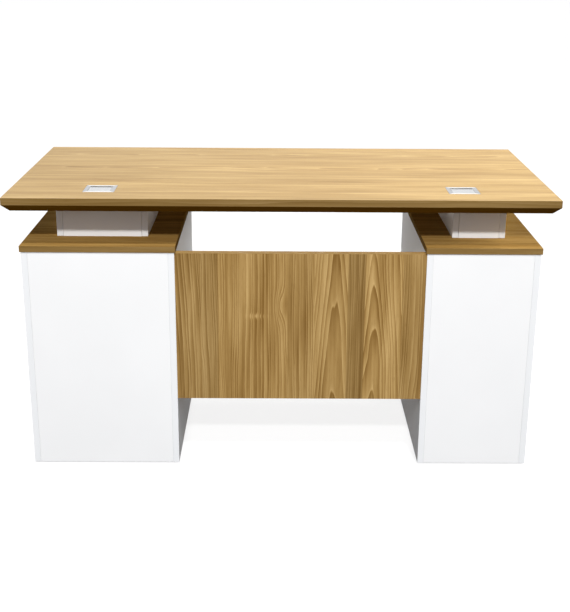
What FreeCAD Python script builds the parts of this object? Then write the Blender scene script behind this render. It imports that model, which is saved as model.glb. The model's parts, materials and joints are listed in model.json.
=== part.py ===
import FreeCAD, Part
import Sketcher
import os
import re
from collections import defaultdict
from FreeCAD import Placement, Rotation, Vector

# Office desk with two pedestals and a raised desktop.
# Lengths are millimetres. The origin is on the floor under the middle of the desktop,
# X runs along the desk, Y from the visitor's side to the user's side, Z up.

SIZES = {
    # Desktop: an upright edge over a bevelled underside
    "desk_width": 1400,
    "desk_depth": 700,
    "desk_height": 750,
    "top_edge": 18,
    "top_bevel_drop": 18,
    "top_bevel_run": 18,
    # How far the desktop reaches past the pedestals
    "side_overhang": 30,
    "front_overhang": 50,
    "rear_overhang": 50,
    # Pedestals: carcass boards under an overhanging cap
    "left_width": 394,
    "right_width": 294,
    "side_board": 16,
    "face_board": 16,
    "floor_board": 16,
    "plinth_board": 16,
    "plinth_height": 60,
    "plinth_setback": 40,
    "cap_board": 16,
    "cap_overhang": 3,
    "glide_height": 3,
    "glide_radius": 7,
    "glide_inset": 40,
    # Risers: open boxes of four boards between cap and desktop
    "riser_height": 100,
    "riser_board": 16,
    "riser_margin": 80,
    "riser_setback": 103,
    "bracket_leg": 25,
    "bracket_wall": 2,
    "bracket_length": 50,
    "screw_reach": 15,
    "screw_radius": 2,
    "screw_length": 12,
    "screw_head_radius": 4,
    "screw_head": 2,
    # Modesty panel and its cam fittings
    "modesty_board": 25,
    "modesty_height": 404,
    "modesty_drop": 3,
    "modesty_inset": 4,
    "cam_radius": 7.5,
    "cam_depth": 14,
    "cam_reach": 34,
    "cam_inset": 60,
    "bolt_radius": 3.5,
    "bolt_seat": 10,
    # Gaps: round inset fronts, at loose fits, at running fits, and past every cut
    "front_gap": 3,
    "loose_gap": 0.3,
    "running_gap": 0.05,
    "overrun": 5,
    # Drawers
    "front_board": 16,
    "top_front_height": 125,
    "middle_front_height": 125,
    "drawer_rear_gap": 68,
    "drawer_board": 12,
    "drawer_lift": 12,
    "drawer_drop": 25,
    "tray_board": 5,
    "tray_lift": 10,
    "groove_depth": 5,
    # Slides of three nested channels
    "slide_space": 13,
    "slide_height": 45,
    "slide_wall": 1.5,
    "slide_play": 0.5,
    "slide_setback": 3,
    # Bow handles
    "handle_length": 160,
    "handle_standoff": 30,
    "handle_bar": 9,
    "handle_post": 12,
    "handle_rise": 12,
    "handle_round": 8,
    "handle_inner_round": 4,
    "handle_drop": 62.5,
    "door_handle_inset": 40,
    "door_handle_drop": 110,
    # Lock of the top drawer
    "lock_radius": 8,
    "lock_flange_radius": 11,
    "lock_flange": 1.5,
    "lock_length": 22,
    "lock_drop": 18,
    "plug_radius": 6,
    "lever_length": 29,
    "lever_width": 10,
    "lever_board": 2,
    "mortise_play": 1,
    "keyway_width": 1.6,
    "keyway_height": 8,
    "keyway_depth": 5,
    # Cupboard: door pivots, catch and shelf
    "pivot_inset": 12,
    "pivot_radius": 3,
    "pivot_seat": 8,
    "pivot_reach": 14,
    "collar_radius": 6,
    "catch_length": 46,
    "catch_depth": 15,
    "catch_height": 13,
    "catch_inset": 20,
    "shelf_board": 16,
    "shelf_height": 330,
    "shelf_setback": 40,
    "shelf_play": 1,
    "pin_radius": 2.5,
    "pin_seat": 9,
    "pin_reach": 10,
    "pin_inset": 60,
    # Cable grommets with tipping lids
    "grommet_size": 80,
    "grommet_bar": 11,
    "grommet_flange": 1.5,
    "grommet_wall": 3,
    "grommet_length": 28,
    "grommet_setback": 75,
    "grommet_inset": 232,
    "lid_board": 3,
    "lid_gap": 0.4,
    "lid_slot": 12,
    "stub_radius": 1,
    "stub_reach": 2,
    "ledge_width": 3,
    "ledge_height": 3,
    "ledge_length": 8,
}

# Places and spans that follow from the sizes, each spelled in sizes and other places.
PLACES = {
    "half_width": "desk_width / 2",
    "half_depth": "desk_depth / 2",
    "edge_z": "desk_height - top_edge",
    "under_top": "edge_z - top_bevel_drop",
    "cap_top": "under_top - riser_height",
    "carcass_top": "cap_top - cap_board",
    "carcass_height": "carcass_top - glide_height",
    "carcass_front": "front_overhang - half_depth",
    "carcass_rear": "half_depth - rear_overhang",
    "carcass_depth": "carcass_rear - carcass_front",
    "front_y": "carcass_rear - front_board",
    "floor_z": "glide_height + plinth_height",
    "floor_top": "floor_z + floor_board",
    "left_x": "side_overhang - half_width",
    "right_x": "half_width - side_overhang - right_width",
    "left_inside": "left_x + side_board",
    "right_inside": "right_x + side_board",
    "left_clear": "left_width - 2 * side_board",
    "right_clear": "right_width - 2 * side_board",
    "knee_left": "left_x + left_width",
    "knee_width": "right_x - knee_left",
    "riser_y": "carcass_front - cap_overhang + riser_setback",
    "riser_depth": "carcass_depth + 2 * cap_overhang - 2 * riser_setback",
    "left_riser_x": "left_x - cap_overhang + riser_margin",
    "right_riser_x": "right_x - cap_overhang + riser_margin",
    "left_riser_width": "left_width + 2 * cap_overhang - 2 * riser_margin",
    "right_riser_width": "right_width + 2 * cap_overhang - 2 * riser_margin",
    "modesty_y": "carcass_front + modesty_inset",
    "modesty_z": "carcass_top - modesty_drop - modesty_height",
    "bolt_y": "modesty_y + modesty_board / 2",
    "bolt_run": "bolt_seat + cam_reach - cam_radius - loose_gap",
    "upper_fronts": "top_front_height + middle_front_height",
    "bottom_front_height": "carcass_top - floor_top - 4 * front_gap - upper_fronts",
    "bottom_front_z": "floor_top + front_gap",
    "middle_front_z": "bottom_front_z + bottom_front_height + front_gap",
    "top_front_z": "middle_front_z + middle_front_height + front_gap",
    "drawer_x": "left_inside + slide_space",
    "drawer_width": "left_clear - 2 * slide_space",
    "drawer_y": "carcass_front + face_board + drawer_rear_gap",
    "drawer_length": "front_y - drawer_y",
    "slide_length": "drawer_length",
    "slide_y": "front_y - slide_setback - slide_length",
    "slide_step": "slide_wall + slide_play",
    "drawer_middle": "left_x + left_width / 2",
    "lock_z": "top_front_z + top_front_height - lock_drop",
    "lock_end": "carcass_rear - lock_length",
    "lever_y": "lock_end - loose_gap - lever_board",
    "lever_rise": "lever_length - lock_drop - front_gap",
    "door_x": "right_inside + front_gap",
    "door_width": "right_clear - 2 * front_gap",
    "door_z": "floor_top + front_gap",
    "door_height": "carcass_top - floor_top - 2 * front_gap",
    "pivot_x": "door_x + door_width - pivot_inset",
    "pivot_y": "front_y + front_board / 2",
    "shelf_y": "carcass_front + face_board",
    "shelf_depth": "front_y - shelf_setback - shelf_y",
    "pin_z": "shelf_height - pin_radius",
    "grommet_offset": "half_width - grommet_inset",
    "grommet_y": "grommet_setback - half_depth",
    "opening": "grommet_size - 2 * grommet_bar",
    "opening_y": "grommet_y + grommet_bar",
    "sleeve": "opening + 2 * grommet_wall",
    "sleeve_y": "opening_y - grommet_wall",
    "flange_z": "desk_height - grommet_flange",
    "lid_under": "desk_height - lid_board",
    "lid_pivot_y": "opening_y + lid_gap + lid_board / 2",
    "lid_pivot_z": "desk_height - lid_board / 2",
    "lid_rear": "opening_y + opening - lid_slot",
}

doc = FreeCAD.newDocument("office_desk")
sheet = doc.addObject("Spreadsheet::Sheet", "Sizes")
for row, (alias, size) in enumerate(SIZES.items(), 1):
    sheet.set(f"A{row}", alias)
    sheet.set(f"B{row}", str(size))
    sheet.setAlias(f"B{row}", alias)
doc.recompute()

WORD = re.compile(r"[a-z_]+")
TURNS = {"x": Rotation(Vector(0, 1, 0), 90), "y": Rotation(Vector(1, 0, 0), -90), "z": Rotation()}
kept = []
holes = defaultdict(list)


def rule(text):
    """Spell a size or a place out in cells of the sheet."""
    def spell(word):
        place = PLACES.get(word[0])
        return f"({rule(place)})" if place else f"Sizes.{word[0]}"
    return WORD.sub(spell, text)


def bind(piece, lengths, start):
    """Tie a piece's lengths and its place to the sheet."""
    for name, text in lengths.items():
        piece.setExpression(name, rule(text))
    for axis, text in zip("xyz", start):
        piece.setExpression(f"Placement.Base.{axis}", rule(text))
    return piece


def box(label, lengths, corner):
    """A block of three lengths, placed by its lowest corner."""
    piece = doc.addObject("Part::Box", label)
    return bind(piece, dict(zip(("Length", "Width", "Height"), lengths)), corner)


def rod(label, axis, radius, length, start):
    """A round bar that runs along an axis from its start."""
    piece = doc.addObject("Part::Cylinder", label)
    piece.Placement = Placement(Vector(), TURNS[axis])
    return bind(piece, {"Radius": radius, "Height": length}, start)


def group(label, pieces):
    """Separate solids under one name."""
    piece = doc.addObject("Part::Compound", label)
    piece.Links = pieces
    return piece


def fuse(label, pieces):
    """One solid from several that meet."""
    piece = doc.addObject("Part::MultiFuse", label)
    piece.Shapes = pieces
    piece.Refine = True
    return piece


def cut(label, base, tools):
    """A solid less one or more others."""
    piece = doc.addObject("Part::Cut", label)
    piece.Base = base
    piece.Tool = tools[0] if len(tools) == 1 else group(f"{label}_cuts", tools)
    piece.Refine = True
    return piece


def keep(piece):
    """Mark a finished sub-part, which is written under its label."""
    kept.append(piece)
    return piece


def drilled(label, blank):
    """A sub-part less the holes that its fittings asked for."""
    return keep(cut(label, blank, holes[label]))


def board(label, lengths, corner):
    """A board of the desk, drilled for its fittings where it has any."""
    if label not in holes:
        return keep(box(label, lengths, corner))
    return drilled(label, box(f"{label}_blank", lengths, corner))


def outline(sketch, corners):
    """A closed outline whose corners are pairs of rules, measured from the sketch's origin."""
    points = [Vector(*(sheet.evalExpression(rule(text)) for text in corner), 0) for corner in corners]
    count = len(points)
    for index, point in enumerate(points):
        sketch.addGeometry(Part.LineSegment(point, points[(index + 1) % count]))
    for index, corner in enumerate(corners):
        sketch.addConstraint(Sketcher.Constraint("Coincident", index, 2, (index + 1) % count, 1))
        for text, kind, crossing, place in zip(corner, ("DistanceX", "DistanceY"), (-2, -1), points[index]):
            if text == "0":
                sketch.addConstraint(Sketcher.Constraint("PointOnObject", index, 1, crossing))
                continue
            number = sketch.addConstraint(Sketcher.Constraint(kind, -1, 1, index, 1, place))
            sketch.setExpression(f"Constraints[{number}]", rule(text))


# Screws and angle brackets of the risers.
# Each riser has a bracket at the head and foot of its front and back boards.
brackets, screws = [], []


def screw(label, axis, way, seat):
    """A pan-head screw whose head sits at seat; returns the shank, which also bores its hole."""
    at = "xyz".index(axis)
    shank_start, head_start = list(seat), list(seat)
    if way == "+":
        head_start[at] = f"{seat[at]} - screw_head"
    else:
        shank_start[at] = f"{seat[at]} - screw_length"
    shank = rod(f"{label}_shank", axis, "screw_radius", "screw_length", shank_start)
    head = rod(f"{label}_head", axis, "screw_head_radius", "screw_head", head_start)
    screws.append(fuse(label, [shank, head]))
    return shank


def low_end(start, way, length):
    """The lower end of a length that runs one way from its start."""
    return start if way == "+" else f"{start} - {length}"


def fix_riser(side):
    """Brackets and screws of one riser, with the holes that the screws need."""
    middle = f"{side}_riser_x + {side}_riser_width / 2"
    corner_x = f"{middle} - bracket_length / 2"
    opposite = {"+": "-", "-": "+"}
    faces = {"front": ("+", "riser_y + riser_board"), "back": ("-", "riser_y + riser_depth - riser_board")}
    levels = {"head": ("-", "under_top", "desktop"), "foot": ("+", "cap_top", f"{side}_pedestal_top")}
    for face, (inward, face_y) in faces.items():
        for level, (rise, level_z, target) in levels.items():
            name = f"{side}_{face}_{level}"
            leg_y, wall_y = (low_end(face_y, inward, size) for size in ("bracket_leg", "bracket_wall"))
            leg_z, wall_z = (low_end(level_z, rise, size) for size in ("bracket_leg", "bracket_wall"))
            flat = box(f"{name}_flat", ("bracket_length", "bracket_leg", "bracket_wall"),
                       (corner_x, leg_y, wall_z))
            tall = box(f"{name}_tall", ("bracket_length", "bracket_wall", "bracket_leg"),
                       (corner_x, wall_y, leg_z))
            across = screw(f"{name}_screw_y", "y", opposite[inward],
                           (middle, f"{face_y} {inward} bracket_wall", f"{level_z} {rise} screw_reach"))
            along = screw(f"{name}_screw_z", "z", opposite[rise],
                          (middle, f"{face_y} {inward} screw_reach", f"{level_z} {rise} bracket_wall"))
            holes[f"{side}_riser_{face}"].append(across)
            holes[target].append(along)
            brackets.append(cut(f"{name}_bracket", fuse(f"{name}_angle", [flat, tall]), [across, along]))


for side in ("left", "right"):
    fix_riser(side)
keep(group("riser_brackets", brackets))
keep(group("riser_screws", screws))


# Cam fittings: a bolt from each pedestal into the modesty panel's end, locked by a cam.
fittings = []
cam_levels = ("modesty_z + cam_inset", "modesty_z + modesty_height - cam_inset")
for index, level in enumerate(cam_levels):
    ends = {
        "left": ("knee_left + cam_reach", "knee_left - bolt_seat"),
        "right": ("right_x - cam_reach", "right_x + bolt_seat - bolt_run"),
    }
    for side, (cam_x, bolt_x) in ends.items():
        cam_start = (cam_x, "modesty_y + modesty_board - cam_depth", level)
        cam = rod(f"cam_{side}_{index}", "y", "cam_radius", "cam_depth", cam_start)
        bolt = rod(f"cam_bolt_{side}_{index}", "x", "bolt_radius", "bolt_run", (bolt_x, "bolt_y", level))
        holes["modesty_panel"] += [cam, bolt]
        holes[f"{side}_pedestal_inner_side"].append(bolt)
        fittings += [cam, bolt]
keep(group("modesty_cam_fittings", fittings))


# Shelf pins and door pivots of the cupboard.
pins = []
pin_places = ("shelf_y + pin_inset", "shelf_y + shelf_depth - pin_inset")
pin_ends = {"inner": "right_inside - pin_seat", "outer": "right_inside + right_clear - pin_reach"}
for index, pin_y in enumerate(pin_places):
    for end, pin_x in pin_ends.items():
        pin = rod(f"pin_{end}_{index}", "x", "pin_radius", "pin_seat + pin_reach", (pin_x, pin_y, "pin_z"))
        holes[f"right_pedestal_{end}_side"].append(pin)
        pins.append(pin)
keep(group("shelf_pins", pins))

pivots = []
pivot_ends = {
    "right_pedestal_bottom": ("floor_top - pivot_seat", "floor_top"),
    "right_pedestal_top": ("carcass_top - front_gap - pivot_reach", "carcass_top - front_gap + loose_gap"),
}
for target, (pin_start, collar_start) in pivot_ends.items():
    pin_length = "pivot_seat + front_gap + pivot_reach"
    pin = rod(f"{target}_pivot", "z", "pivot_radius", pin_length, ("pivot_x", "pivot_y", pin_start))
    collar_place = ("pivot_x", "pivot_y", collar_start)
    collar = rod(f"{target}_collar", "z", "collar_radius", "front_gap - loose_gap", collar_place)
    holes[target].append(pin)
    pivots.append(fuse(f"{target}_pivot_pin", [pin, collar]))
keep(group("door_pivot_pins", pivots))

bore_radius = "pivot_radius + running_gap"
bore_length = "pivot_reach + loose_gap"
for end, start in {"foot": "door_z", "head": f"door_z + door_height - ({bore_length})"}.items():
    holes["cupboard_door"].append(
        rod(f"door_bore_{end}", "z", bore_radius, bore_length, ("pivot_x", "pivot_y", start)))


# Lock of the top drawer: a barrel in the drawer front, and a plug whose lever turns up into the cap.
lock_place = ("drawer_middle", "lock_end", "lock_z")
flange_place = ("drawer_middle", "carcass_rear", "lock_z")
barrel = rod("lock_tube", "y", "lock_radius", "lock_length", lock_place)
flange = rod("lock_flange", "y", "lock_flange_radius", "lock_flange", flange_place)
plug_length = "lock_length + lock_flange + loose_gap"
plug_place = ("drawer_middle", "lock_end - loose_gap", "lock_z")
plug_bore = rod("plug_bore", "y", "plug_radius + running_gap", plug_length, plug_place)
keep(cut("drawer_lock_barrel", fuse("lock_blank", [barrel, flange]), [plug_bore]))
holes["top_drawer_front"].append(barrel)

plug = rod("plug_round", "y", "plug_radius", plug_length, plug_place)
lever = box("plug_lever", ("lever_length + lever_width / 2", "lever_board", "lever_width"),
            ("drawer_middle - lever_width / 2", "lever_y", "lock_z - lever_width / 2"))
keyway = box("plug_keyway", ("keyway_width", "keyway_depth + overrun", "keyway_height"),
             ("drawer_middle - keyway_width / 2", "carcass_rear + lock_flange - keyway_depth",
              "lock_z - keyway_height / 2"))
keep(cut("drawer_lock_plug", fuse("plug_blank", [plug, lever]), [keyway]))
holes["left_pedestal_top"].append(
    box("lock_mortise",
        ("lever_length + lever_width / 2 + 2 * mortise_play", "lever_board + 2 * mortise_play",
         "lever_rise + mortise_play + overrun"),
        ("drawer_middle - lever_width / 2 - mortise_play", "lever_y - mortise_play",
         "carcass_top - overrun")))


# Cable grommets: a flanged sleeve let in flush, with a lid that tips up on two stub pins.
def grommet(side, middle):
    """Frame and lid of one grommet, and its hole in the desktop."""
    def across(label, wide, lengths, corner):
        return box(f"{side}_{label}", (wide, *lengths), (f"{middle} - ({wide}) / 2", *corner))

    hole, rebate = "sleeve + 2 * loose_gap", "grommet_size + 2 * loose_gap"
    holes["desktop"] += [
        across("grommet_hole", hole, (hole, "top_edge + top_bevel_drop + 2 * overrun"),
               ("sleeve_y - loose_gap", "under_top - overrun")),
        across("grommet_rebate", rebate, (rebate, "grommet_flange + overrun"),
               ("grommet_y - loose_gap", "flange_z")),
    ]
    flange = across("flange", "grommet_size", ("grommet_size", "grommet_flange"), ("grommet_y", "flange_z"))
    sleeve = across("sleeve", "sleeve", ("sleeve", "grommet_length"),
                    ("sleeve_y", "desk_height - grommet_length"))
    mouth = across("mouth", "opening", ("opening", "grommet_length + 2 * overrun"),
                   ("opening_y", "desk_height - grommet_length - overrun"))
    bore_width = "opening + 2 * stub_reach + 2 * loose_gap"
    bore = rod(f"{side}_lid_bore", "x", "stub_radius + running_gap", bore_width,
               (f"{middle} - ({bore_width}) / 2", "lid_pivot_y", "lid_pivot_z"))
    shell = cut(f"{side}_grommet_shell", fuse(f"{side}_grommet_blank", [flange, sleeve]), [mouth, bore])
    ledges = []
    ledge_ends = {"low": f"{middle} - opening / 2", "high": f"{middle} + opening / 2 - ledge_width"}
    for end, ledge_x in ledge_ends.items():
        ledges.append(
            box(f"{side}_ledge_{end}", ("ledge_width", "ledge_length", "ledge_height"),
                (ledge_x, "lid_rear - ledge_length", "lid_under - loose_gap - ledge_height")))
    keep(fuse(f"{side}_grommet_frame", [shell, *ledges]))

    lid_width = "opening - 2 * lid_gap"
    plate = across("lid_plate", lid_width, ("lid_rear - lid_pivot_y", "lid_board"),
                   ("lid_pivot_y", "lid_under"))
    barrel = rod(f"{side}_lid_barrel", "x", "lid_board / 2", lid_width,
                 (f"{middle} - ({lid_width}) / 2", "lid_pivot_y", "lid_pivot_z"))
    stub_width = "opening + 2 * stub_reach"
    stubs = rod(f"{side}_lid_stubs", "x", "stub_radius", stub_width,
                (f"{middle} - ({stub_width}) / 2", "lid_pivot_y", "lid_pivot_z"))
    keep(fuse(f"{side}_grommet_lid", [plate, barrel, stubs]))


grommet("left", "-grommet_offset")
grommet("right", "grommet_offset")


# Desktop: a square-edged slab over a wedge that gives the bevelled underside.
slab = box("desktop_slab", ("desk_width", "desk_depth", "top_edge"),
           ("-half_width", "-half_depth", "edge_z"))
bevel = doc.addObject("Part::Wedge", "desktop_bevel")
bevel.Placement = Placement(Vector(), TURNS["y"])
bevel_ends = {
    "Xmin": "-half_width",
    "Xmax": "half_width",
    "Zmin": "-half_depth",
    "Zmax": "half_depth",
    "X2min": "top_bevel_run - half_width",
    "X2max": "half_width - top_bevel_run",
    "Z2min": "top_bevel_run - half_depth",
    "Z2max": "half_depth - top_bevel_run",
    "Ymin": "0",
    "Ymax": "top_bevel_drop",
}
bind(bevel, bevel_ends, ("0", "0", "edge_z"))
drilled("desktop", fuse("desktop_blank", [slab, bevel]))


# Pedestals and risers.
def pedestal(side, outer_x, inner_x):
    """Carcass boards of one pedestal, with its cap."""
    low_x, width, inside, clear = f"{side}_x", f"{side}_width", f"{side}_inside", f"{side}_clear"
    upright = ("side_board", "carcass_depth", "carcass_height")
    board(f"{side}_pedestal_outer_side", upright, (outer_x, "carcass_front", "glide_height"))
    board(f"{side}_pedestal_inner_side", upright, (inner_x, "carcass_front", "glide_height"))
    board(f"{side}_pedestal_front", (clear, "face_board", "carcass_height"),
          (inside, "carcass_front", "glide_height"))
    board(f"{side}_pedestal_bottom", (clear, "carcass_depth - face_board", "floor_board"),
          (inside, "carcass_front + face_board", "floor_z"))
    board(f"{side}_pedestal_plinth", (clear, "plinth_board", "plinth_height"),
          (inside, "carcass_rear - plinth_setback - plinth_board", "glide_height"))
    board(f"{side}_pedestal_top",
          (f"{width} + 2 * cap_overhang", "carcass_depth + 2 * cap_overhang", "cap_board"),
          (f"{low_x} - cap_overhang", "carcass_front - cap_overhang", "carcass_top"))


def riser(side, outer_x, inner_x):
    """Four boards of one riser, the front and back ones set between the sides."""
    flank = ("riser_board", "riser_depth", "riser_height")
    board(f"{side}_riser_outer_side", flank, (outer_x, "riser_y", "cap_top"))
    board(f"{side}_riser_inner_side", flank, (inner_x, "riser_y", "cap_top"))
    between = (f"{side}_riser_width - 2 * riser_board", "riser_board", "riser_height")
    between_x = f"{side}_riser_x + riser_board"
    board(f"{side}_riser_front", between, (between_x, "riser_y", "cap_top"))
    board(f"{side}_riser_back", between, (between_x, "riser_y + riser_depth - riser_board", "cap_top"))


pedestal("left", "left_x", "knee_left - side_board")
pedestal("right", "right_x + right_width - side_board", "right_x")
riser("left", "left_riser_x", "left_riser_x + left_riser_width - riser_board")
riser("right", "right_riser_x + right_riser_width - riser_board", "right_riser_x")

board("modesty_panel", ("knee_width", "modesty_board", "modesty_height"),
      ("knee_left", "modesty_y", "modesty_z"))

glides = []
glide_rows = ("carcass_front + glide_inset", "carcass_rear - glide_inset")
glide_lines = ("left_x", "knee_left - side_board", "right_x", "right_x + right_width - side_board")
for line, glide_x in enumerate(glide_lines):
    for row, glide_y in enumerate(glide_rows):
        place = (f"{glide_x} + side_board / 2", glide_y, "0")
        glides.append(rod(f"glide_{line}_{row}", "z", "glide_radius", "glide_height", place))
keep(group("pedestal_glides", glides))


# Handles: a flat bar bent to a bow, with rounded corners.
DIGITS = 6


def upright_edges(shape, y):
    """Names of a shape's edges that run along Z at this y."""
    names = []
    for number, edge in enumerate(shape.Edges, 1):
        ends = {round(vertex.Y, DIGITS) for vertex in edge.Vertexes}
        if ends == {round(y, DIGITS)} and edge.BoundBox.ZLength > edge.BoundBox.XLength:
            names.append(f"Edge{number}")
    return names


def bow_handle(label, start, turn=Rotation()):
    """A bow handle that stands out along Y from its start."""
    body = doc.addObject("PartDesign::Body", label)
    body.Placement = Placement(Vector(), turn)
    bind(body, {}, start)
    flat = next(plane for plane in body.Origin.OriginFeatures if plane.Role == "XY_Plane")
    sketch = body.newObject("Sketcher::SketchObject", f"{label}_outline")
    sketch.AttachmentSupport = (flat, [""])
    sketch.MapMode = "FlatFace"
    inner = "handle_standoff - handle_bar"
    far_post = "handle_length - handle_post"
    outline(sketch, [
        ("0", "0"), ("handle_post", "0"), ("handle_post", inner), (far_post, inner), (far_post, "0"),
        ("handle_length", "0"), ("handle_length", "handle_standoff"), ("0", "handle_standoff"),
    ])
    feature = body.newObject("PartDesign::Pad", f"{label}_pad")
    feature.Profile = sketch
    feature.setExpression("Length", rule("handle_rise"))
    for reach, radius in {"handle_standoff": "handle_round", inner: "handle_inner_round"}.items():
        doc.recompute()
        rounded = body.newObject("PartDesign::Fillet", f"{label}_{radius}")
        rounded.Base = (feature, upright_edges(feature.Shape, sheet.evalExpression(rule(reach))))
        rounded.setExpression("Radius", rule(radius))
        feature = rounded
    return keep(body)


# Drawers: a front, two grooved sides, a back and a tray on slides.
def channel(label, lengths, corner, mouth):
    """A slide member: a block hollowed from the side that its mouth faces."""
    wide, deep, tall = lengths
    x, y, z = corner
    hollow_x = f"{x} + slide_wall" if mouth == "high" else f"{x} - overrun"
    hollow = box(f"{label}_hollow", (f"{wide} - slide_wall + overrun", f"{deep} + 2 * overrun",
                                     f"{tall} - 2 * slide_wall"),
                 (hollow_x, f"{y} - overrun", f"{z} + slide_wall"))
    return cut(label, box(f"{label}_blank", lengths, corner), [hollow])


def slide(name, middle):
    """The three members of both slides of one drawer, nested a step apart."""
    members = {"cabinet": [], "intermediate": [], "drawer": []}
    reach = "slide_space - slide_step"
    spans = {"cabinet": reach, "intermediate": reach, "drawer": "slide_space"}
    walls = {"outer": ("left_inside", "high", "low"), "inner": ("left_inside + left_clear", "low", "high")}
    for end, (wall_x, away, back) in walls.items():
        mouths = {"cabinet": away, "intermediate": away, "drawer": back}
        for step, (kind, span) in enumerate(spans.items()):
            inset = f"{step} * slide_step"
            low_x = f"{wall_x} + {inset}" if end == "outer" else f"{wall_x} - ({span})"
            lengths = (f"{span} - {inset}", "slide_length", f"slide_height - 2 * {inset}")
            corner = (low_x, "slide_y", f"{middle} - slide_height / 2 + {inset}")
            members[kind].append(channel(f"{name}_{kind}_{end}", lengths, corner, mouths[kind]))
    return members


def drawer(name):
    """The boards, handle and drawer members of one drawer; returns its other slide members."""
    low, tall = f"{name}_front_z", f"{name}_front_height"
    side_z = f"{low} + drawer_lift"
    side_height = f"{tall} - drawer_lift - drawer_drop"
    tray_z = f"{side_z} + tray_lift"
    clear_x = "drawer_x + drawer_board"
    clear_width = "drawer_width - 2 * drawer_board"
    board(f"{name}_drawer_front", ("left_clear - 2 * front_gap", "front_board", tall),
          ("left_inside + front_gap", "front_y", low))
    groove = box(f"{name}_groove", (f"{clear_width} + 2 * groove_depth", "drawer_length + 2 * overrun",
                                    "tray_board + loose_gap"),
                 ("drawer_x + drawer_board - groove_depth", "drawer_y - overrun", tray_z))
    sides = []
    for end, side_x in {"outer": "drawer_x", "inner": "drawer_x + drawer_width - drawer_board"}.items():
        blank = box(f"{name}_{end}_blank", ("drawer_board", "drawer_length", side_height),
                    (side_x, "drawer_y", side_z))
        sides.append(cut(f"{name}_{end}_side", blank, [groove]))
    keep(group(f"{name}_drawer_sides", sides))
    board(f"{name}_drawer_bottom",
          (f"{clear_width} + 2 * groove_depth - 2 * loose_gap", "drawer_length", "tray_board"),
          (f"{clear_x} - groove_depth + loose_gap", "drawer_y", tray_z))
    board(f"{name}_drawer_back", (clear_width, "drawer_board", f"{side_height} - tray_lift - tray_board"),
          (clear_x, "drawer_y", f"{tray_z} + tray_board"))
    bow_handle(f"{name}_drawer_handle", ("drawer_middle - handle_length / 2", "carcass_rear",
                                         f"{low} + {tall} - handle_drop - handle_rise / 2"))
    members = slide(name, f"{side_z} + ({side_height}) / 2")
    keep(group(f"{name}_slide_drawer_members", members["drawer"]))
    keep(group(f"{name}_slide_intermediates", members["intermediate"]))
    return members["cabinet"]


cabinet_members = []
for name in ("top", "middle", "bottom"):
    cabinet_members += drawer(name)
keep(group("slide_cabinet_members", cabinet_members))


# Cupboard: an inset door with its handle, a catch under the cap, and one shelf.
board("cupboard_door", ("door_width", "front_board", "door_height"), ("door_x", "front_y", "door_z"))
bow_handle("cupboard_door_handle",
           ("door_x + door_handle_inset + handle_rise / 2", "carcass_rear",
            "door_z + door_height - door_handle_drop - handle_length"),
           Rotation(Vector(0, 1, 0), -90))
board("door_catch", ("catch_length", "catch_depth", "catch_height"),
      ("door_x + catch_inset", "front_y - loose_gap - catch_depth", "carcass_top - catch_height"))
board("cupboard_shelf", ("right_clear - 2 * shelf_play", "shelf_depth", "shelf_board"),
      ("right_inside + shelf_play", "shelf_y", "shelf_height"))


doc.recompute()
failed = [piece.Label for piece in doc.Objects if {"Invalid", "Error"} & set(piece.State)]
if failed:
    raise RuntimeError(f"these objects failed: {failed}")
for piece in kept:
    if piece.Shape.isNull() or not piece.Shape.isValid() or not piece.Shape.Solids:
        raise RuntimeError(f"{piece.Label} has no valid solid")

os.makedirs("parts", exist_ok=True)
for piece in kept:
    piece.Shape.exportStep(f"parts/{piece.Label}.step")
print(len(kept), "sub-parts written")
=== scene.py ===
# %% [markdown]
# # Dressing an office desk
# The construction model of a two-pedestal office desk comes at its real size: boards, drawers on
# slides, a cupboard door and cable grommets. This lesson loads it as a fixed frame and gives it its
# looks: eased board edges, a printed oak decor, white melamine, metal fittings, a studio and a camera.
# Lengths are metres, +Z is up, and the visitor's side of the desk faces -Y.

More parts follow.
